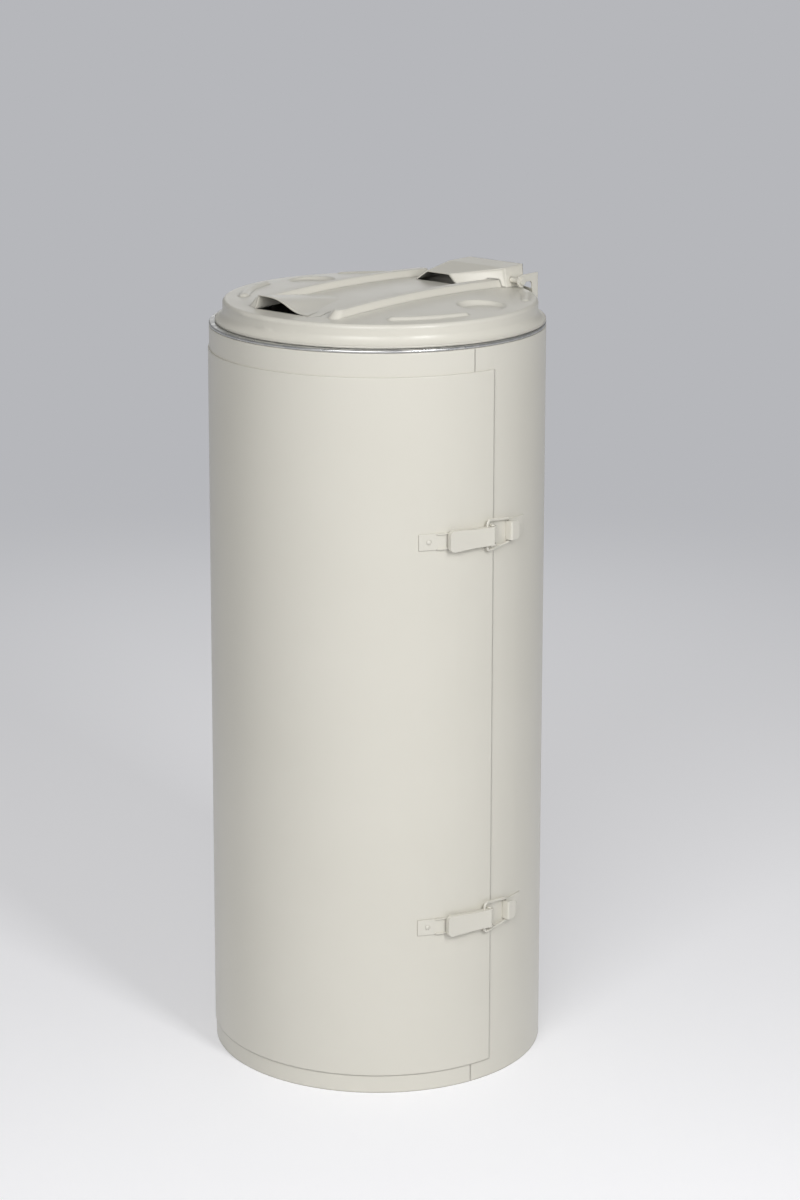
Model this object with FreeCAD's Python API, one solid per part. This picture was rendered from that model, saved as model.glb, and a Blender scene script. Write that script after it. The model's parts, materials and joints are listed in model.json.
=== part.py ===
import FreeCAD, Part
import math
import os

os.makedirs("parts", exist_ok=True)

# A round steel sack bin: rolled shell, latched front door, hinged pressed lid.
# Millimetres, +Z up, origin at the centre of the base on the floor, front towards -Y.
# An azimuth is in degrees about +Z, from the front (-Y) towards +X.

V = FreeCAD.Vector
UP = V(0, 0, 1)
ORIGIN = V(0, 0, 0)
REAR = 180.0
QUARTER = 90.0

# Sheet, clearances and the overrun of cuts
sheet = 1.0
seat_gap = 0.1
fit_gap = 0.3
pin_clearance = 0.08
overrun = 5.0

# Body shell, hoops and base pan
body_radius = 197.0
body_height = 877.0
seam_azimuth = 75.7
seam_width = 0.4
hoop_lap = 24.0
pan_height = 25.0

# Sack ring
ring_bead_height = 3.5
ring_land = 15.0
ring_collar = 22.0
ring_sheet = 1.2

# Door
door_bottom = 21.4
door_top_drop = 27.0
door_edge_azimuth = 83.7
door_hinge_edge_azimuth = -84.0

# Door hinges
hinge_azimuth = -86.6
hinge_height = 66.0
hinge_knuckle_radius = 3.6
hinge_pin_radius = 2.0
hinge_leaf_sheet = 1.3
hinge_leaf_sweep = 11.0
hinge_pin_head = 1.2

# Latches
upper_latch_height = 660.0
lower_latch_height = 202.0
latch_azimuth = 73.0
latch_sheet = 1.2
base_start_azimuth = 55.4
base_end_azimuth = 83.0
base_flange_start_azimuth = 61.5
base_flange_end_azimuth = 81.5
base_width = 18.6
base_flange = 2.0
pivot_azimuth = 81.6
pivot_radius = 1.5
ear_radius = 2.7
lever_nose_radius = 4.6
lever_length = 59.0
lever_web_lap = 0.2
lever_wall = 6.0
lever_ramp = 16.0
lever_grip_width = 25.0
lever_grip_taper = 34.0
lever_grip_corner = 6.0
pivot_head_radius = 2.6
pivot_head = 1.6
crank = 7.0
bail_wire_radius = 1.5
bail_width_at_lever = 36.0
bail_width_at_strike = 27.0
bail_bend = 4.5
bail_bar_azimuth = 91.0

# Strikes
strike_end_azimuth = 99.8
strike_height = 24.0
hook_height = 22.0
hook_reach = 14.0
hook_gap = 7.4
hook_root_gap = 1.4
hook_corner = 4.5
hook_bend = 2.2

# Rivets
rivet_head_radius = 3.0
rivet_head = 1.4
rivet_shank_radius = 1.8
base_rivet_azimuths = (58.8, 69.5)
strike_rivet_azimuth = 97.0

# Lid pressing. An inset is from the lid's upright wall unless it is named for the body.
lid_offset = 5.0
lid_gap = 0.5
lid_skirt = 25.0
lid_rise = 7.0
body_to_lid_wall = 12.5
body_to_lid_flange = 3.5
lid_edge_round = 5.0
lid_lip = 2.5
lid_flare = 11.0
lid_seam_azimuth = 15.0
rib_spacing = 122.0
rib_front_inset = 31.5
rib_rear_inset = 25.5
rib_height = 8.5
rib_foot_width = 20.0
rib_top_width = 8.0
rib_ramp = 15.0
bead_inset = 26.0
bead_width = 14.0
bead_height = 3.4
bead_azimuths = (47.0, 78.0)
rear_bead_inset = 14.5
rear_bead_width = 11.0
rear_bead_height = 2.0
rear_bead_azimuths = (122.0, 142.0)
dish_inset = 49.5
dish_y = 25.0
dish_radius = 29.0
dish_floor_radius = 23.0
dish_depth = 4.5

# Lanced grip of the lid: a mouth at the front, steep on its left, with a long flank on its right.
# A scoop's section is (left foot, left crest, right crest, right foot, rise).
grip_front_inset = 31.5
grip_length = 95.0
grip_mouth_section = (-51.0, -45.0, -30.0, 32.0, 15.0)
grip_tail_section = (-40.0, -36.0, -20.0, 7.0, 1.6)
grip_tail_sink = 0.8
slit_width = 0.8
slit_reach = 11.0
slit_corner = 10.0
slit_length = 24.0
slit_lean = 7.0

# Hinge hump of the lid: a mouth at the front, a long left slope, a box and an upright right cheek
hump_rear_inset = 8.5
hump_box_length = 30.0
hump_channel_length = 35.0
hump_mouth_section = (-45.0, -21.0, 14.0, 32.0, 16.0)
hump_box_section = (-53.0, -15.0, 71.0, 75.0, 25.0)
hump_rear_section = (-57.0, -8.0, 74.0, 76.0, 27.0)

# Lid hinge: an ear on the back of the body beside the hump, and one on the ring's collar inside it
lid_pivot_run = 20.0
lid_pivot_rise = 10.0
lid_pin_radius = 3.0
lid_pin_head_radius = 4.5
lid_pin_head = 2.0
ear_x = 90.0
ear_sheet = 2.0
ear_nose = 7.5
ear_stand = 10.2
ear_strip = 10.0
ear_bar = 9.0
ear_arch = 6.0
bracket_sheet = 1.6
bracket_drop = 40.0
bracket_rise = 24.0
bracket_rivet_row = 20.0
bracket_rivet_azimuths = (160.0, 180.0, 200.0)
inner_ear_x = 30.0
inner_ear_neck = 32.0
inner_ear_foot = 18.0
inner_ear_flange_sweep = 8.0
inner_ear_slot_gap = 2.0

# Worked-out sizes
door_inner = body_radius + fit_gap
door_outer = door_inner + sheet
door_top = body_height - door_top_drop
ring_top = body_height + ring_bead_height
lid_bottom = ring_top + lid_gap
lid_edge = lid_bottom + lid_skirt
lid_crown = lid_edge + lid_rise
lid_pivot_z = lid_edge + lid_pivot_rise
lid_wall_radius = body_radius - body_to_lid_wall
lid_flange_radius = body_radius - body_to_lid_flange
rib_front = lid_wall_radius - rib_front_inset
rib_rear = lid_wall_radius - rib_rear_inset
bead_radius = lid_wall_radius - bead_inset
rear_bead_radius = lid_wall_radius - rear_bead_inset
dish_x = lid_wall_radius - dish_inset
grip_front = lid_wall_radius - grip_front_inset
grip_rear = grip_front - grip_length
hump_rear_y = lid_wall_radius - hump_rear_inset
hump_box_y = hump_rear_y - hump_box_length
hump_mouth_y = hump_box_y - hump_channel_length
lid_pivot_y = hump_rear_y - lid_pivot_run
ear_rear_y = math.sqrt(body_radius ** 2 - ear_x ** 2) + ear_stand
dome_radius = (lid_wall_radius ** 2 + lid_rise ** 2) / (2 * lid_rise)
dome_centre = lid_crown - dome_radius
base_inner = door_outer + fit_gap
lever_inner_half = base_width / 2 + fit_gap
lever_outer_half = lever_inner_half + latch_sheet


def at_azimuth(radius, azimuth, z=0):
    turn = math.radians(azimuth)
    return V(radius * math.sin(turn), -radius * math.cos(turn), z)


def turned(shape, azimuth):
    copy = shape.copy()
    copy.rotate(ORIGIN, UP, azimuth)
    return copy


def raised(shape, z):
    copy = shape.copy()
    copy.translate(V(0, 0, z))
    return copy


def mirrored(shape):
    return shape.mirror(ORIGIN, V(1, 0, 0))


def arc_plate(inner, outer, start, end, low, high):
    """A rolled plate between two azimuths and two heights."""
    sector = end - start
    solid = Part.makeCylinder(outer, high - low, V(0, 0, low), UP, sector)
    bore = Part.makeCylinder(inner, high - low, V(0, 0, low), UP, sector)
    return turned(solid.cut(bore), start - QUARTER)


def upright(radius, x, y, low, high):
    return Part.makeCylinder(radius, high - low, V(x, y, low), UP)


def radial_bolt(radius, azimuth, z, inner, outer):
    """A round bar along the radius at an azimuth."""
    out = at_azimuth(1, azimuth)
    return Part.makeCylinder(radius, outer - inner, at_azimuth(inner, azimuth, z), out)


def line(a, b):
    return Part.LineSegment(a, b).toShape()


def arc(a, b, c):
    return Part.Arc(a, b, c).toShape()


def prism(edges, travel):
    return Part.Face(Part.Wire(edges)).extrude(travel)


def closed_polygon(points):
    return Part.makePolygon(points + points[:1])


def full_turn(edges, seam_at=QUARTER):
    return turned(Part.Face(Part.Wire(edges)).revolve(ORIGIN, UP, 2 * REAR), seam_at - QUARTER)


def fused(shapes):
    whole = shapes[0]
    for shape in shapes[1:]:
        whole = whole.fuse(shape)
    return whole.removeSplitter()


def rounded_wire(points, bend):
    """Straight runs joined by tangent arcs of one radius."""
    edges = []
    start = points[0]
    for before, corner, after in zip(points, points[1:], points[2:]):
        back = (before - corner).normalize()
        ahead = (after - corner).normalize()
        half = back.getAngle(ahead) / 2
        trim = bend / math.tan(half)
        middle = (back + ahead).normalize()
        centre = corner + middle * (bend / math.sin(half))
        first = corner + back * trim
        last = corner + ahead * trim
        edges.append(line(start, first))
        edges.append(arc(first, centre - middle * bend, last))
        start = last
    edges.append(line(start, points[-1]))
    return Part.Wire(edges)


def save(shape, node):
    shape.exportStep("parts/" + node + ".step")
    print(node, len(shape.Solids), shape.isValid(), round(shape.Volume))


# Body shell, hoops, base pan and sack ring

shell_inner = body_radius - sheet
seam_half = math.degrees(seam_width / 2 / body_radius)
rivet_hole_radius = rivet_shank_radius + seat_gap
latch_heights = {"upper": upper_latch_height, "lower": lower_latch_height}


def rivet_hole(azimuth, z):
    """A hole along the radius through every sheet at one place."""
    return radial_bolt(rivet_hole_radius, azimuth, z, shell_inner - overrun, door_outer + overrun)


rear_shell = arc_plate(shell_inner, body_radius, seam_azimuth + seam_half,
                       2 * REAR - seam_azimuth - seam_half, 0, body_height)
for latch_z in latch_heights.values():
    rear_shell = rear_shell.cut(rivet_hole(strike_rivet_azimuth, latch_z))
bracket_low = body_height - bracket_drop
bracket_rivet_z = bracket_low + bracket_rivet_row
for azimuth in bracket_rivet_azimuths:
    rear_shell = rear_shell.cut(rivet_hole(azimuth, bracket_rivet_z))
save(rear_shell, "rear_shell")

hoop_sweep = seam_azimuth - seam_half
top_hoop = arc_plate(shell_inner, body_radius, -hoop_sweep, hoop_sweep, door_top - hoop_lap, body_height)
save(top_hoop, "top_hoop")
bottom_hoop = arc_plate(shell_inner, body_radius, -hoop_sweep, hoop_sweep, 0, door_bottom + hoop_lap)
save(bottom_hoop, "bottom_hoop")

pan_radius = shell_inner - seat_gap
pan = Part.makeCylinder(pan_radius, pan_height)
pan_hollow = Part.makeCylinder(pan_radius - sheet, pan_height, V(0, 0, sheet))
save(pan.cut(pan_hollow), "base_plate")


def sack_ring():
    """Rolled bead on the rim, a flat land, and a collar that hangs inside."""
    bead = ring_bead_height / 2
    bead_r = body_radius - bead
    inner_r = body_radius - ring_land - ring_sheet
    land_low = ring_top - ring_sheet
    low = body_height - ring_collar
    bead_inner = bead_r - bead
    outer_r = inner_r + ring_sheet
    corners = [V(inner_r, 0, low), V(inner_r, 0, ring_top), V(bead_r, 0, ring_top), V(bead_r, 0, body_height),
               V(bead_inner, 0, body_height), V(bead_inner, 0, land_low), V(outer_r, 0, land_low),
               V(outer_r, 0, low)]
    edges = [line(corners[0], corners[1]), line(corners[1], corners[2]),
             arc(corners[2], V(body_radius, 0, body_height + bead), corners[3])]
    edges += [line(a, b) for a, b in zip(corners[3:], corners[4:] + corners[:1])]
    return full_turn(edges)


save(sack_ring(), "sack_ring")

# Door panel, with the holes for the latch rivets

door = arc_plate(door_inner, door_outer, door_hinge_edge_azimuth, door_edge_azimuth, door_bottom, door_top)
for latch_z in latch_heights.values():
    for azimuth in base_rivet_azimuths:
        door = door.cut(rivet_hole(azimuth, latch_z))
save(door, "door_panel")

# Door hinges: three knuckles on a pin, the outer two on the shell and the middle one on the door

hinge_axis_r = body_radius + seat_gap + fit_gap + hinge_knuckle_radius
hinge_axis = at_azimuth(hinge_axis_r, hinge_azimuth)
knuckle = hinge_height / 3


def hinge_bar(radius, low, high):
    """A round bar on the door hinge's axis."""
    return upright(radius, hinge_axis.x, hinge_axis.y, low, high)


def hinge_leaf(inner, start, end, low, spans, others):
    """A rolled leaf with knuckles over its own spans and notches at the other leaf's."""
    leaf = arc_plate(inner, inner + hinge_leaf_sheet, start, end, low, low + hinge_height)
    for first, last in others:
        leaf = leaf.cut(hinge_bar(hinge_knuckle_radius + fit_gap, low + first * knuckle - fit_gap,
                                  low + last * knuckle + fit_gap))
    for first, last in spans:
        leaf = leaf.fuse(hinge_bar(hinge_knuckle_radius, low + first * knuckle, low + last * knuckle))
    bore = hinge_bar(hinge_pin_radius + pin_clearance, low - overrun, low + hinge_height + overrun)
    return leaf.cut(bore).removeSplitter()


def hinge_pin(low):
    foot = low - fit_gap
    top = low + hinge_height + fit_gap
    heads = [hinge_bar(hinge_knuckle_radius, foot - hinge_pin_head, foot),
             hinge_bar(hinge_knuckle_radius, top, top + hinge_pin_head)]
    return fused([hinge_bar(hinge_pin_radius, foot, top)] + heads)


outer_spans = ((0, 1), (2, 3))
middle_span = ((1, 2),)
axial_play_share = fit_gap / knuckle
door_span = ((1 + axial_play_share, 2 - axial_play_share),)
for name, latch_z in latch_heights.items():
    low = latch_z - hinge_height / 2
    body_leaf = hinge_leaf(body_radius + seat_gap, hinge_azimuth - hinge_leaf_sweep, hinge_azimuth,
                           low, outer_spans, middle_span)
    door_leaf = hinge_leaf(door_outer + seat_gap, hinge_azimuth, hinge_azimuth + hinge_leaf_sweep,
                           low, door_span, outer_spans)
    save(body_leaf, name + "_hinge_body_leaf")
    save(door_leaf, name + "_hinge_door_leaf")
    save(hinge_pin(low), name + "_hinge_pin")

# Latches. Each is modelled at height zero in its tangent frame: +X along the tangent, -Y outwards.

pivot_r = base_inner + latch_sheet + fit_gap + lever_nose_radius
pivot = at_azimuth(pivot_r, pivot_azimuth - latch_azimuth)
bail_end = pivot - V(crank, 0, 0)
bail_bar_r = body_radius + latch_sheet + fit_gap + bail_wire_radius
bail_bar = at_azimuth(bail_bar_r, bail_bar_azimuth - latch_azimuth)
web_face = pivot.y - lever_nose_radius
wall_edge = web_face + lever_wall
grip_x = pivot.x + lever_web_lap - lever_length


def latch_base():
    """Rolled channel with low flanges and two ears that carry the lever pin."""
    half = base_width / 2
    start = base_start_azimuth - latch_azimuth
    end = base_end_azimuth - latch_azimuth
    flange_start = base_flange_start_azimuth - latch_azimuth
    flange_end = base_flange_end_azimuth - latch_azimuth
    face = base_inner + latch_sheet
    parts = [arc_plate(base_inner, face, start, end, -half, half)]
    for low in (-half, half - latch_sheet):
        flange = arc_plate(base_inner, face + base_flange, flange_start, flange_end, low, low + latch_sheet)
        eye = upright(ear_radius, pivot.x, pivot.y, low, low + latch_sheet)
        foot_y = -math.sqrt(base_inner ** 2 - pivot.x ** 2) - latch_sheet / 2
        stem_corner = V(pivot.x - ear_radius, pivot.y, low)
        stem = Part.makeBox(2 * ear_radius, foot_y - pivot.y, latch_sheet, stem_corner)
        parts += [flange, eye, stem]
    base = fused(parts)
    base = base.cut(upright(pivot_radius + pin_clearance, pivot.x, pivot.y, -half - overrun, half + overrun))
    for azimuth in base_rivet_azimuths:
        base = base.cut(rivet_hole(azimuth - latch_azimuth, 0))
    return base.removeSplitter()


def lever_plan(inset, nose_x, low_y, high_y):
    """The lever seen from the front: parallel at the pivot, flaring to a rounded grip."""
    narrow = lever_outer_half - inset
    wide = lever_grip_width / 2 - inset
    corner = lever_grip_corner - inset
    left = grip_x + inset
    flare_x = grip_x + lever_grip_taper
    bevel = corner * (1 - math.sqrt(0.5))
    points = [V(nose_x, high_y, -narrow), V(flare_x, high_y, -narrow), V(left + corner, high_y, -wide),
              V(left, high_y, corner - wide), V(left, high_y, wide - corner), V(left + corner, high_y, wide),
              V(flare_x, high_y, narrow), V(nose_x, high_y, narrow)]
    edges = [line(points[0], points[1]), line(points[1], points[2]),
             arc(points[2], V(left + bevel, high_y, bevel - wide), points[3]), line(points[3], points[4]),
             arc(points[4], V(left + bevel, high_y, wide - bevel), points[5]), line(points[5], points[6]),
             line(points[6], points[7]), line(points[7], points[0])]
    return prism(edges, V(0, low_y - high_y, 0))


def lever():
    """Channel lever: side walls with a round nose on the pivot, a web over them, a flared grip."""
    reach = lever_grip_width / 2 + overrun
    nose = lever_nose_radius
    top = V(pivot.x, pivot.y - nose, -reach)
    bottom = V(pivot.x, pivot.y + nose, -reach)
    ramp = V(pivot.x - lever_ramp, wall_edge, -reach)
    grip_low = V(grip_x, wall_edge, -reach)
    grip_top = V(grip_x, web_face, -reach)
    nose_point = V(pivot.x + nose, pivot.y, -reach)
    side = prism([arc(top, nose_point, bottom), line(bottom, ramp), line(ramp, grip_low),
                  line(grip_low, grip_top), line(grip_top, top)], V(0, 0, 2 * reach))
    past_x = pivot.x + nose + overrun
    past_y = pivot.y + nose + overrun
    body = side.common(lever_plan(0, past_x, past_y, web_face - overrun))
    body = body.cut(lever_plan(latch_sheet, past_x, past_y, web_face + latch_sheet))
    nose_slot = Part.makeBox(nose + overrun, 2 * (nose + overrun), 2 * lever_inner_half,
                             V(pivot.x + lever_web_lap, pivot.y - nose - overrun, -lever_inner_half))
    body = body.cut(nose_slot)
    body = body.cut(upright(pivot_radius + pin_clearance, pivot.x, pivot.y, -reach, reach))
    body = body.cut(upright(bail_wire_radius + pin_clearance, bail_end.x, bail_end.y, -reach, reach))
    return body.removeSplitter()


def lever_pin():
    """Riveted pin with a domed head outside each wall of the lever."""
    half = lever_outer_half + fit_gap
    shank = upright(pivot_radius, pivot.x, pivot.y, -half, half)
    head = upright(pivot_head_radius, pivot.x, pivot.y, half, half + pivot_head)
    crown = [edge for edge in head.Edges if edge.BoundBox.ZMin > half + pivot_head / 2]
    head = head.makeFillet(pivot_head / 2, crown[:1])
    tail = head.mirror(ORIGIN, UP)
    return fused([shank, head, tail])


def bail():
    """One bent wire: ends in the lever's walls, legs that close in, and the bar under the hook."""
    end = (lever_inner_half + base_width / 2) / 2
    at_lever = bail_width_at_lever / 2
    at_strike = bail_width_at_strike / 2
    heights = [(bail_end, end), (bail_end, at_lever), (bail_bar, at_strike),
               (bail_bar, -at_strike), (bail_end, -at_lever), (bail_end, -end)]
    path = rounded_wire([place + V(0, 0, z) for place, z in heights], bail_bend)
    ring = Part.Wire([Part.Circle(bail_end + V(0, 0, end), UP, bail_wire_radius).toShape()])
    return path.makePipeShell([ring], True, False)


def strike():
    """Plate on the shell whose front edge folds up and over into a hook."""
    half = strike_height / 2
    hook_half = hook_height / 2
    turn = bail_bar_azimuth - latch_azimuth
    root = at_azimuth(bail_bar_r, 0)
    root_x = root.x - bail_wire_radius - hook_root_gap - latch_sheet
    inner_face = -(body_radius + latch_sheet + hook_gap)
    outer_face = inner_face - latch_sheet
    seat = -body_radius * math.cos(math.asin(root_x / body_radius))
    tip_x = root_x + hook_reach
    bend = hook_bend * (1 - math.sqrt(0.5))
    rise_x = root_x + latch_sheet
    corners = [V(root_x + hook_bend, outer_face, -hook_half), V(tip_x, outer_face, -hook_half),
               V(tip_x, inner_face, -hook_half), V(rise_x, inner_face, -hook_half),
               V(rise_x, seat, -hook_half), V(root_x, seat, -hook_half),
               V(root_x, outer_face + hook_bend, -hook_half)]
    edges = [line(a, b) for a, b in zip(corners, corners[1:])]
    edges.append(arc(corners[-1], V(root_x + bend, outer_face + bend, -hook_half), corners[0]))
    fold = prism(edges, V(0, 0, hook_height))
    tips = [edge for edge in fold.Edges
            if abs(edge.Length - latch_sheet) < seat_gap and edge.CenterOfMass.x > tip_x - seat_gap]
    fold = turned(fold.makeFillet(hook_corner, tips), turn)
    start = turn + math.degrees(root_x / body_radius)
    end = strike_end_azimuth - latch_azimuth
    plate = arc_plate(body_radius, body_radius + latch_sheet, start, end, -half, half)
    solid = fused([plate, fold])
    core = Part.makeCylinder(body_radius + seat_gap, strike_height, V(0, 0, -half))
    return solid.cut(core).cut(rivet_hole(strike_rivet_azimuth - latch_azimuth, 0))


def rivet(azimuth, z, inner, outer):
    """Domed head outside, a shank through the sheets and a flat upset inside."""
    half = rivet_head / 2
    ball = (rivet_head_radius ** 2 + rivet_head ** 2) / (2 * rivet_head)
    tilt = math.asin(rivet_head_radius / ball) / 2
    rim = V(rivet_head_radius, 0, 0)
    flank = V(ball * math.sin(tilt), 0, rivet_head - ball * (1 - math.cos(tilt)))
    crown = V(0, 0, rivet_head)
    dome_head = full_turn([line(ORIGIN, rim), arc(rim, flank, crown), line(crown, ORIGIN)])
    grip = outer - inner + 2 * seat_gap
    shank = Part.makeCylinder(rivet_shank_radius, grip, V(0, 0, -grip))
    upset = Part.makeCylinder(rivet_head_radius, half, V(0, 0, -grip - half))
    whole = fused([dome_head, shank, upset])
    whole.rotate(ORIGIN, V(1, 0, 0), QUARTER)
    whole.translate(V(0, -outer - seat_gap, 0))
    return raised(turned(whole, azimuth), z)


latch_pieces = {"base": latch_base(), "lever": lever(), "lever_pin": lever_pin(), "bail": bail(),
                "strike": strike()}
for name, latch_z in latch_heights.items():
    for piece, solid in latch_pieces.items():
        save(raised(turned(solid, latch_azimuth), latch_z), name + "_latch_" + piece)

base_rivets = [rivet(azimuth, latch_z, door_inner, base_inner + latch_sheet)
               for latch_z in latch_heights.values() for azimuth in base_rivet_azimuths]
save(Part.makeCompound(base_rivets), "latch_base_rivets")
strike_rivets = [rivet(strike_rivet_azimuth, latch_z, shell_inner, body_radius + latch_sheet)
                 for latch_z in latch_heights.values()]
save(Part.makeCompound(strike_rivets), "latch_strike_rivets")

# Lid. The pressing is an outer form less the same form set in by one sheet.


def dome_point(radius, offset):
    """A point of the crowned top, on a sphere about the lid's axis."""
    return V(radius, 0, dome_centre + math.sqrt((dome_radius + offset) ** 2 - radius ** 2))


def dome_arc(radius, offset):
    return arc(dome_point(radius, offset), dome_point(radius / 2, offset), dome_point(0, offset))


def dome(offset):
    """Everything under the crowned top of the lid, or under a level above it."""
    rim = V(lid_wall_radius, 0, 0)
    crown = dome_point(0, offset)
    return full_turn([line(ORIGIN, rim), line(rim, dome_point(lid_wall_radius, offset)),
                      dome_arc(lid_wall_radius, offset), line(crown, ORIGIN)], lid_seam_azimuth)


def lid_bowl(inset, low):
    """Crowned top, round shoulder, straight wall and a concave flare out to the lip."""
    wall = lid_wall_radius - inset
    flange = lid_flange_radius - inset
    lip = lid_bottom + lid_lip - inset
    flare_top = V(wall, 0, lip + lid_flare)
    hug_share = 0.28
    turn = lid_edge_round * (1 - math.sqrt(0.5))
    shoulder = dome_point(wall - lid_edge_round, -inset)
    wall_top = V(wall, 0, shoulder.z - lid_edge_round)
    crown = dome_point(0, -inset)
    foot = V(flange, 0, low)
    lip_top = V(flange, 0, lip)
    edges = [line(V(0, 0, low), foot), line(foot, lip_top),
             arc(lip_top, V(wall + (flange - wall) * hug_share, 0, lip + lid_flare * hug_share), flare_top),
             line(flare_top, wall_top), arc(wall_top, V(wall - turn, 0, shoulder.z - turn), shoulder),
             dome_arc(shoulder.x, -inset), line(crown, V(0, 0, low))]
    return full_turn(edges, lid_seam_azimuth)


def slot_wire(half, front, rear, z):
    """A long slot outline with round ends, on the line of a rib."""
    x = rib_spacing / 2
    a = V(x - half, half - front, z)
    b = V(x - half, rear - half, z)
    c = V(x + half, rear - half, z)
    d = V(x + half, half - front, z)
    return Part.Wire([line(a, b), arc(b, V(x, rear, z), c), line(c, d), arc(d, V(x, -front, z), a)])


def rib(inset):
    foot = rib_foot_width / 2 - inset
    top = rib_top_width / 2 - inset
    front = rib_front - inset
    rear = rib_rear - inset
    low = slot_wire(foot, front, rear, lid_edge - inset)
    high = slot_wire(top, front - rib_ramp, rear - rib_ramp, lid_crown + rib_height - inset)
    return Part.makeLoft([low, high], True, True).common(dome(rib_height - inset))


def bead(radius, width, height, azimuths, inset):
    """A low round bead pressed along an arc of the lid, with a round end at each azimuth."""
    half = width / 2
    tube = (half ** 2 + height ** 2) / (2 * height)
    low = dome_point(radius, 0).z + height - tube
    section = Part.Face(Part.Wire(Part.makeCircle(tube - inset, V(radius, 0, low), V(0, 1, 0))))
    run = turned(section.revolve(ORIGIN, UP, azimuths[1] - azimuths[0]), azimuths[0] - QUARTER)
    for azimuth, facing in zip(azimuths, (REAR, 0)):
        end = Part.makeSphere(tube - inset, ORIGIN, UP, -QUARTER, QUARTER, REAR)
        end = turned(end, azimuth - QUARTER + facing)
        end.translate(at_azimuth(radius, azimuth, low))
        run = run.fuse(end)
    return run


def dish(inset):
    """The hollow of a round recess: a flat floor and a wall on a ball above it."""
    floor = dome_point(math.hypot(dish_x, dish_y), 0).z - dish_depth
    lift = (dish_radius ** 2 - dish_floor_radius ** 2 + dish_depth ** 2) / (2 * dish_depth)
    ball = math.hypot(dish_floor_radius, lift) + inset
    floor_latitude = -math.degrees(math.asin((lift + inset) / ball))
    return Part.makeSphere(ball, V(dish_x, dish_y, floor + lift), UP, floor_latitude, QUARTER, 2 * REAR)


def run_on(section, behind, share):
    """The section that lies ahead of one, on the straight lines from the one behind it."""
    return tuple(here + share * (here - there) for here, there in zip(section, behind))


def grip_section(section, y, base, inset):
    """Across the grip: steep on the left, a level crest, and an S down to the right foot."""
    left, crest_left, crest_right, right, rise = section
    low = lid_edge - lid_skirt / 2
    floor = base - inset
    left = left + inset
    right = right - inset
    crest_right = crest_right - inset
    top = floor + rise
    width = (right - crest_right) / 2
    drop = rise / 2
    bend = (width ** 2 + drop ** 2) / (2 * drop)
    half_turn = math.asin(width / bend) / 2
    across = bend * math.sin(half_turn)
    down = bend * (1 - math.cos(half_turn))
    crest = V(crest_right, y, top)
    middle = V(crest_right + width, y, floor + drop)
    foot = V(right, y, floor)
    crest_start = V(crest_left + inset, y, top)
    points = [foot, V(right, y, low), V(left, y, low), V(left, y, floor), crest_start, crest]
    edges = [arc(crest, V(crest_right + across, y, top - down), middle),
             arc(middle, V(right - across, y, floor + down), foot)]
    edges += [line(a, b) for a, b in zip(points, points[1:])]
    return Part.Wire(edges)


def grip(inset, ahead):
    """The raised scoop of the lanced grip, which fades out behind its mouth."""
    base = dome_point(grip_front - lid_offset, 0).z
    tail_base = dome_point(grip_rear, 0).z - grip_tail_sink
    share = ahead / grip_length
    mouth = run_on(grip_mouth_section, grip_tail_section, share)
    mouth_base = base + share * (base - tail_base)
    return Part.makeLoft([grip_section(mouth, -grip_front - ahead, mouth_base, inset),
                          grip_section(grip_tail_section, -grip_rear, tail_base, inset)], True, True)


def grip_slit():
    """The lance that runs on from the grip's mouth and turns back beside it."""
    out = slit_width / 2
    grip_right = grip_mouth_section[3]
    end = grip_right + slit_reach
    side = end - slit_lean
    front = -grip_front
    back = front + slit_corner + slit_length
    points = [V(grip_right - out, front - out, 0), V(end - slit_corner + out, front - out, 0),
              V(end + out, front + slit_corner, 0), V(side + out, back, 0), V(side - out, back, 0),
              V(end - out, front + slit_corner + out, 0), V(end - slit_corner - out, front + out, 0),
              V(grip_right - out, front + out, 0)]
    return raised(Part.Face(closed_polygon(points)).extrude(V(0, 0, lid_skirt)), lid_edge - lid_skirt / 2)


def hump_section(section, y, inset):
    left, crest_left, crest_right, right, rise = section
    low = lid_edge - lid_skirt / 2
    foot = lid_edge - inset
    top = foot + rise
    left = left + inset
    right = right - inset
    return closed_polygon([V(left, y, low), V(right, y, low), V(right, y, foot),
                           V(crest_right - inset, y, top), V(crest_left + inset, y, top), V(left, y, foot)])


def hump(inset, ahead):
    """The hinge hump: a channel that opens forwards and widens to a box over the hinge."""
    mouth = run_on(hump_mouth_section, hump_box_section, ahead / hump_channel_length)
    sections = [hump_section(mouth, hump_mouth_y - ahead, inset),
                hump_section(hump_box_section, hump_box_y, inset),
                hump_section(hump_rear_section, hump_rear_y - inset, inset)]
    return Part.makeLoft(sections, True, True)


def off_centre(shape):
    copy = shape.copy()
    copy.translate(V(0, lid_offset, 0))
    return copy


def open_mouth(scoop, mouth_y):
    """A scoop that runs on past its mouth, but only above the sheet ahead of it."""
    reach = 2 * lid_flange_radius
    ahead = Part.makeBox(reach, reach, lid_crown + reach, V(-reach / 2, mouth_y - reach, 0))
    return scoop.cut(off_centre(dome(seat_gap)).common(ahead))


def lid_form(inset, low, ahead):
    """The whole pressing, set in by inset, with its mouths run on by ahead."""
    form = lid_bowl(inset, low)
    pressings = (rib(inset), bead(bead_radius, bead_width, bead_height, bead_azimuths, inset),
                 bead(rear_bead_radius, rear_bead_width, rear_bead_height, rear_bead_azimuths, inset))
    for pressing in pressings:
        form = form.fuse(pressing).fuse(mirrored(pressing))
    form = form.cut(dish(inset)).cut(mirrored(dish(inset)))
    form = off_centre(form)
    scoops = (open_mouth(grip(inset, ahead), -grip_front), open_mouth(hump(inset, ahead), hump_mouth_y))
    return form.fuse(scoops[0]).fuse(scoops[1])


def lid_pivot_bar(radius, start, end):
    return Part.makeCylinder(radius, end - start, V(start, lid_pivot_y, lid_pivot_z), V(1, 0, 0))


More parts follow.
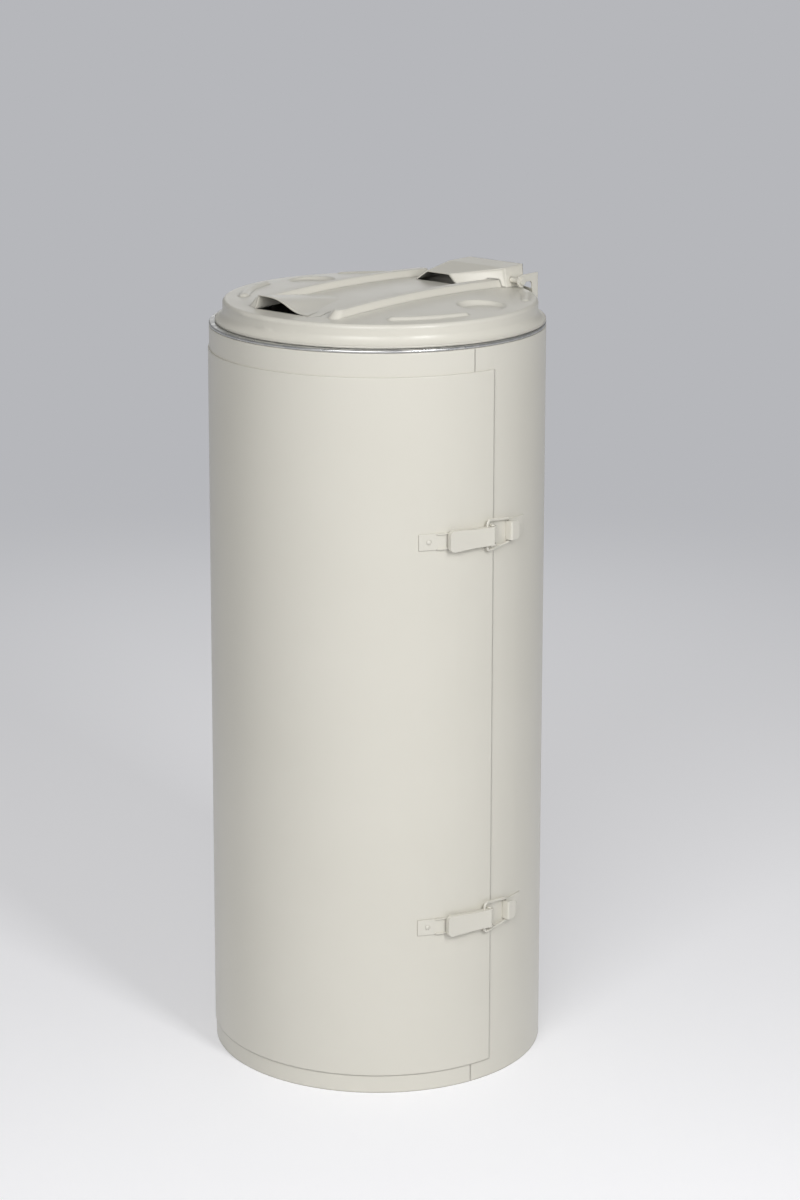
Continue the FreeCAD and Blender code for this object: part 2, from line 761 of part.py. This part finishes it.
def lid_shell():
    shell = lid_form(0, lid_bottom, 0).cut(lid_form(sheet, lid_bottom - overrun, overrun))
    swing = lid_pivot_z - lid_bottom
    reach = 2 * lid_flange_radius
    behind = Part.makeBox(reach, reach, 2 * swing, V(-reach / 2, lid_pivot_y, lid_pivot_z - swing))
    shell = shell.cut(behind.cut(lid_pivot_bar(swing, -reach, reach)))
    shell = shell.cut(lid_pivot_bar(lid_pin_radius + pin_clearance, inner_ear_x, reach))
    slot_low = lid_bottom - overrun
    slot_high = lid_edge + hump_box_section[4] - 2 * sheet
    slot = Part.makeBox(ear_sheet + 2 * inner_ear_slot_gap, reach, slot_high - slot_low,
                        V(inner_ear_x - inner_ear_slot_gap, lid_pivot_y + ear_nose, slot_low))
    shell = shell.cut(slot).cut(grip_slit())
    return max(shell.Solids, key=lambda solid: solid.Volume)


save(lid_shell(), "lid_shell")

# Lid hinge: a bracket on the back of the shell, an inner ear on the ring's collar, and one pin


def hinge_ear():
    """Upright ear with a round nose on the pin and an arch under its bar, over the edge of the lid."""
    x = ear_x - ear_sheet
    strip_y = ear_rear_y - ear_strip
    low = bracket_low
    top = lid_pivot_z + ear_nose
    bar_low = top - ear_bar
    nose_top = V(x, lid_pivot_y, top)
    nose_front = V(x, lid_pivot_y - ear_nose, lid_pivot_z)
    nose_low = V(x, lid_pivot_y, lid_pivot_z - ear_nose)
    arch_start = V(x, lid_pivot_y + ear_nose, bar_low)
    arch_end = V(x, strip_y, bar_low - ear_arch)
    arch_mid = V(x, strip_y - ear_arch * (1 - math.sqrt(0.5)), bar_low - ear_arch * (1 - math.sqrt(0.5)))
    arch_top = V(x, strip_y - ear_arch, bar_low)
    strip = [arch_end, V(x, strip_y, low), V(x, ear_rear_y, low), V(x, ear_rear_y, top), nose_top]
    edges = [arc(nose_top, nose_front, nose_low), line(nose_low, arch_start), line(arch_start, arch_top),
             arc(arch_top, arch_mid, arch_end)]
    edges += [line(a, b) for a, b in zip(strip, strip[1:])]
    return prism(edges, V(ear_sheet, 0, 0))


def lid_bracket():
    """Back plate that closes the gap behind the lid, with the ear that stands beside the hump."""
    half = math.degrees(math.asin(ear_x / (body_radius + bracket_sheet)))
    top = ring_top + bracket_rise
    height = top - bracket_low
    back = arc_plate(body_radius, body_radius + bracket_sheet, REAR - half, REAR + half, bracket_low, top)
    solid = fused([back, hinge_ear()])
    core = Part.makeCylinder(body_radius + seat_gap, height, V(0, 0, bracket_low))
    lid_side = Part.makeBox(2 * body_radius, 2 * body_radius, height,
                            V(-body_radius, ear_rear_y - ear_strip - 2 * body_radius, bracket_low))
    shell_room = Part.makeCylinder(body_radius + seat_gap, ring_top - bracket_low, V(0, 0, bracket_low))
    solid = solid.cut(shell_room).cut(core.cut(lid_side))
    for azimuth in bracket_rivet_azimuths:
        solid = solid.cut(rivet_hole(azimuth, bracket_rivet_z))
    return solid.cut(lid_pivot_bar(lid_pin_radius + pin_clearance, inner_ear_x, ear_x + overrun))


def inner_ear():
    """Upright welded to the ring's collar that carries the pin's other end, inside the hump."""
    collar = body_radius - ring_land - ring_sheet - seat_gap
    low = body_height - ring_collar
    high = low + inner_ear_foot
    x = inner_ear_x
    front = lid_pivot_y - ear_nose
    back = lid_pivot_y + ear_nose
    neck = lid_pivot_z - inner_ear_neck
    points = [V(x, back, lid_pivot_z), V(x, back, neck), V(x, collar, high), V(x, collar, low),
              V(x, front, low), V(x, front, lid_pivot_z)]
    edges = [line(a, b) for a, b in zip(points, points[1:])]
    edges.append(arc(points[-1], V(x, lid_pivot_y, lid_pivot_z + ear_nose), points[0]))
    stem = prism(edges, V(ear_sheet, 0, 0)).common(Part.makeCylinder(collar, lid_crown + overrun))
    nose = lid_pivot_bar(ear_nose, x, x + ear_sheet)
    turn = REAR - math.degrees(math.asin(x / collar))
    flange = arc_plate(collar - ear_sheet, collar, turn - inner_ear_flange_sweep, turn, low, high)
    bore = lid_pivot_bar(lid_pin_radius + pin_clearance, x - overrun, x + overrun)
    return fused([stem, nose, flange]).cut(bore)


save(lid_bracket(), "lid_hinge_bracket")
save(inner_ear(), "lid_hinge_inner_ear")

pin_start = inner_ear_x - seat_gap
pin_end = ear_x + seat_gap
pin_heads = [lid_pivot_bar(lid_pin_head_radius, pin_start - lid_pin_head, pin_start),
             lid_pivot_bar(lid_pin_head_radius, pin_end, pin_end + lid_pin_head)]
save(fused([lid_pivot_bar(lid_pin_radius, pin_start, pin_end)] + pin_heads), "lid_hinge_pin")

bracket_rivets = [rivet(azimuth, bracket_rivet_z, shell_inner, body_radius + bracket_sheet)
                  for azimuth in bracket_rivet_azimuths]
save(Part.makeCompound(bracket_rivets), "lid_bracket_rivets")
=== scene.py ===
import json
import math
import bpy
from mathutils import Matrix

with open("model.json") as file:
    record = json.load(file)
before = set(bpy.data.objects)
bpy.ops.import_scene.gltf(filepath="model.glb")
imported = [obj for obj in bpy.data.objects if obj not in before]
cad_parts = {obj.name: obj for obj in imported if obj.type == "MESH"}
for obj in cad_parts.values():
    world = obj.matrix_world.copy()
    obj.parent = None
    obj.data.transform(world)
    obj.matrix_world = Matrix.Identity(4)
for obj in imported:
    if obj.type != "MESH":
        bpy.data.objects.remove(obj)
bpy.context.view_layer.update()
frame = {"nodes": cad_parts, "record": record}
mm = 0.001
mixA, mixB, mixOut = 6, 7, 2  # a Mix node's colour sockets share their names with its number sockets
print("frame loaded:", len(frame["nodes"]), "nodes")


def linear(hexColour):
    channels = [int(hexColour[i:i + 2], 16) / 255 for i in (0, 2, 4)]
    return [c / 12.92 if c <= 0.04045 else ((c + 0.055) / 1.055) ** 2.4 for c in channels] + [1.0]


def addNode(tree, kind, settings=None, links=None):
    node = tree.nodes.new(kind)
    for name, value in (settings or {}).items():
        if isinstance(name, int) or name in node.inputs:
            node.inputs[name].default_value = value
        else:
            setattr(node, name, value)
    for name, socket in (links or {}).items():
        tree.links.new(socket, node.inputs[name])
    return node


def newMaterial(name):
    material = bpy.data.materials.new(name)
    material.use_nodes = True
    material.node_tree.nodes.clear()
    return material, material.node_tree


# Sprayed powder coat: an even satin film with a fine orange peel that only shows where light
# glances off it. Folds are rounded in shading only, to about the sheet's bend radius.
coat = {"light": "dedbd1", "dark": "d8d5ca", "cloud": 160 * mm, "cloudDetail": 2.0,
        "glossiest": 0.26, "dullest": 0.36, "patch": 30 * mm, "patchDetail": 3.0,
        "peel": 1.6 * mm, "peelDetail": 1.0, "peelDepth": 0.035 * mm, "ior": 1.5,
        "fold": 3 * mm, "foldSamples": 8}
powderCoat, tree = newMaterial("satin_powder_coat")
place = addNode(tree, "ShaderNodeTexCoord").outputs["Object"]
cloud = addNode(tree, "ShaderNodeTexNoise",
                {"Scale": 1 / coat["cloud"], "Detail": coat["cloudDetail"]}, {"Vector": place})
tint = addNode(tree, "ShaderNodeMix",
               {"data_type": "RGBA", mixA: linear(coat["dark"]), mixB: linear(coat["light"])},
               {"Factor": cloud.outputs["Fac"]})
patch = addNode(tree, "ShaderNodeTexNoise",
                {"Scale": 1 / coat["patch"], "Detail": coat["patchDetail"]}, {"Vector": place})
gloss = addNode(tree, "ShaderNodeMapRange",
                {"To Min": coat["glossiest"], "To Max": coat["dullest"]},
                {"Value": patch.outputs["Fac"]})
peel = addNode(tree, "ShaderNodeTexNoise",
               {"Scale": 1 / coat["peel"], "Detail": coat["peelDetail"]}, {"Vector": place})
fold = addNode(tree, "ShaderNodeBevel", {"samples": coat["foldSamples"], "Radius": coat["fold"]})
ripple = addNode(tree, "ShaderNodeBump", {"Strength": 1.0, "Distance": coat["peelDepth"]},
                 {"Height": peel.outputs["Fac"], "Normal": fold.outputs["Normal"]})
shader = addNode(tree, "ShaderNodeBsdfPrincipled", {"IOR": coat["ior"]},
                 {"Base Color": tint.outputs[mixOut], "Roughness": gloss.outputs["Result"],
                  "Normal": ripple.outputs["Normal"]})
addNode(tree, "ShaderNodeOutputMaterial", None, {"Surface": shader.outputs["BSDF"]})

# Galvanised sheet: bright zinc with faint spangle, grains about a centimetre across.
zinc = {"bright": "dadad8", "dull": "c6c7c8", "grain": 9 * mm, "smooth": 0.26, "rough": 0.40}
galvanised, tree = newMaterial("galvanised_sheet")
place = addNode(tree, "ShaderNodeTexCoord").outputs["Object"]
grain = addNode(tree, "ShaderNodeTexVoronoi", {"Scale": 1 / zinc["grain"]}, {"Vector": place})
tone = addNode(tree, "ShaderNodeSeparateColor", None, {"Color": grain.outputs["Color"]})
tint = addNode(tree, "ShaderNodeMix",
               {"data_type": "RGBA", mixA: linear(zinc["dull"]), mixB: linear(zinc["bright"])},
               {"Factor": tone.outputs["Red"]})
gloss = addNode(tree, "ShaderNodeMapRange", {"To Min": zinc["smooth"], "To Max": zinc["rough"]},
                {"Value": tone.outputs["Green"]})
shader = addNode(tree, "ShaderNodeBsdfPrincipled", {"Metallic": 1.0},
                 {"Base Color": tint.outputs[mixOut], "Roughness": gloss.outputs["Result"]})
addNode(tree, "ShaderNodeOutputMaterial", None, {"Surface": shader.outputs["BSDF"]})

# Zinc-plated pins: drawn rod, whose thin plating is finely mottled in tone and gloss.
pin = {"bright": "b9bbbd", "dull": "989a9c", "mark": 2 * mm, "markDetail": 3.0,
       "smooth": 0.28, "rough": 0.45}
zincPin, tree = newMaterial("zinc_plated_pin")
place = addNode(tree, "ShaderNodeTexCoord").outputs["Object"]
mark = addNode(tree, "ShaderNodeTexNoise",
               {"Scale": 1 / pin["mark"], "Detail": pin["markDetail"]}, {"Vector": place})
tint = addNode(tree, "ShaderNodeMix",
               {"data_type": "RGBA", mixA: linear(pin["dull"]), mixB: linear(pin["bright"])},
               {"Factor": mark.outputs["Fac"]})
gloss = addNode(tree, "ShaderNodeMapRange", {"To Min": pin["smooth"], "To Max": pin["rough"]},
                {"Value": mark.outputs["Fac"]})
shader = addNode(tree, "ShaderNodeBsdfPrincipled", {"Metallic": 1.0},
                 {"Base Color": tint.outputs[mixOut], "Roughness": gloss.outputs["Result"]})
addNode(tree, "ShaderNodeOutputMaterial", None, {"Surface": shader.outputs["BSDF"]})

finishes = {"powder_coat": powderCoat, "galvanised_steel": galvanised, "zinc_steel": zincPin}
for part in frame["record"]["subparts"]:
    node = frame["nodes"][part["node"]]
    node.data.materials.clear()
    node.data.materials.append(finishes[part["material_slot"]])

# The folds follow the way each piece is made: broad in the deep-drawn lid, tight in the stamped
# latches and hinges. The rolled body and door keep the coat's own.
folds = {"lid_shell": 4 * mm, "latch": 0.8 * mm, "hinge": 0.8 * mm}
for kind, radius in folds.items():
    formedCoat = powderCoat.copy()
    formedCoat.name = "satin_powder_coat_" + kind
    formedCoat.node_tree.nodes[fold.name].inputs["Radius"].default_value = radius
    for name, node in frame["nodes"].items():
        if kind in name and node.data.materials[0] == powderCoat:
            node.data.materials[0] = formedCoat
print("finishes set")

# Floor: a wide pale paper sweep. It is lighter round the bin, where the lamps light it and an emitted
# lift adds painted light. It is greyer far behind it, where an emitted grey paints the lamps'
# falloff.
# The lift and the grey backdrop show only to the camera and in reflections.
floor = {"radius": 60.0, "corners": 96, "near": "ececee", "lift": "868688", "far": "b6b7bb",
         "nearEnd": 0.7, "farStart": 3.3, "roughness": 0.9, "specular": 0.1}
bpy.ops.mesh.primitive_circle_add(vertices=floor["corners"], radius=floor["radius"], fill_type="NGON")
floorDisc = bpy.context.object
floorDisc.name = "floor"
paper, tree = newMaterial("pale_studio_paper")
place = addNode(tree, "ShaderNodeTexCoord").outputs["Object"]
away = addNode(tree, "ShaderNodeVectorMath", {"operation": "LENGTH"}, {"Vector": place})
fade = addNode(tree, "ShaderNodeMapRange",
               {"interpolation_type": "SMOOTHSTEP", "From Min": floor["nearEnd"],
                "From Max": floor["farStart"]}, {"Value": away.outputs["Value"]})
paperShader = addNode(tree, "ShaderNodeBsdfPrincipled",
                      {"Base Color": linear(floor["near"]), "Roughness": floor["roughness"],
                       "Specular IOR Level": floor["specular"]})
ray = addNode(tree, "ShaderNodeLightPath")
seen = addNode(tree, "ShaderNodeMath", {"operation": "MAXIMUM"},
               {0: ray.outputs["Is Camera Ray"], 1: ray.outputs["Is Glossy Ray"]})
# Painted light: an emitted lift that brightens the near paper, seen only by the camera and in
# reflections.
lift = addNode(tree, "ShaderNodeEmission", {"Color": linear(floor["lift"])},
               {"Strength": seen.outputs["Value"]})
lifted = addNode(tree, "ShaderNodeAddShader", None,
                 {0: paperShader.outputs["BSDF"], 1: lift.outputs["Emission"]})
# Painted falloff: the far floor and backdrop are an emitted grey that stands in for the light fading
# with distance.
backdrop = addNode(tree, "ShaderNodeEmission", {"Color": linear(floor["far"])},
                   {"Strength": seen.outputs["Value"]})
sweep = addNode(tree, "ShaderNodeMixShader", None,
                {0: fade.outputs["Result"], 1: lifted.outputs["Shader"],
                 2: backdrop.outputs["Emission"]})
addNode(tree, "ShaderNodeOutputMaterial", None, {"Surface": sweep.outputs["Shader"]})
floorDisc.data.materials.append(paper)

# Camera: the photograph's view, fitted to the body's edges. Focal length and centre are in pixels
# of the 800 x 1200 frame, distance and eye height in metres.
photo = {"width": 800, "height": 1200, "focal": 3076, "centre": (377.5, 420), "azimuth": 42,
         "distance": 3.540, "eye": 1.515, "pitch": 12.04, "sensor": 36, "clipEnd": 200}
turn = math.radians(photo["azimuth"])
lens = bpy.data.cameras.new("photo_view")
lens.sensor_width = photo["sensor"]
lens.lens = photo["focal"] / photo["height"] * photo["sensor"]
lens.shift_x = (photo["width"] / 2 - photo["centre"][0]) / photo["height"]
lens.shift_y = (photo["centre"][1] - photo["height"] / 2) / photo["height"]
lens.clip_end = photo["clipEnd"]
camera = bpy.data.objects.new("photo_view", lens)
camera.location = (photo["distance"] * math.sin(turn), -photo["distance"] * math.cos(turn),
                   photo["eye"])
camera.rotation_euler = (math.radians(90 - photo["pitch"]), 0, turn)
bpy.context.collection.objects.link(camera)
bpy.context.scene.camera = camera

# Light: an even room, a softbox to the camera's right, a larger one to its left and a weak one
# behind the bin, each turned to about half the bin's height.
room = {"hex": "f5f5f5", "strength": 0.28}
world = bpy.data.worlds.new("studio")
bpy.context.scene.world = world
world.use_nodes = True
world.node_tree.nodes.clear()
glow = addNode(world.node_tree, "ShaderNodeBackground",
               {"Color": linear(room["hex"]), "Strength": room["strength"]})
addNode(world.node_tree, "ShaderNodeOutputWorld", None, {"Surface": glow.outputs["Background"]})
aimHeight = 0.5
lamps = {
    "right_softbox": {"azimuth": 73, "reach": 2.4, "height": 1.75, "size": (0.5, 1.2), "watts": 27.5},
    "left_softbox": {"azimuth": 27, "reach": 2.8, "height": 2.05, "size": (1.6, 1.6), "watts": 42},
    "rear_softbox": {"azimuth": 222, "reach": 2.4, "height": 1.1, "size": (1.2, 1.2), "watts": 3.5}}
for name, lamp in lamps.items():
    light = bpy.data.lights.new(name, "AREA")
    light.shape = "RECTANGLE"
    light.size, light.size_y = lamp["size"]
    light.energy = lamp["watts"]
    box = bpy.data.objects.new(name, light)
    box.visible_camera = False
    around = math.radians(lamp["azimuth"])
    box.location = (lamp["reach"] * math.sin(around), -lamp["reach"] * math.cos(around),
                    lamp["height"])
    rise = math.atan2(lamp["height"] - aimHeight, lamp["reach"])
    box.rotation_euler = (math.pi / 2 - rise, 0, around)
    bpy.context.collection.objects.link(box)
bpy.context.scene.view_settings.view_transform = "Standard"
print("floor, camera and light set")
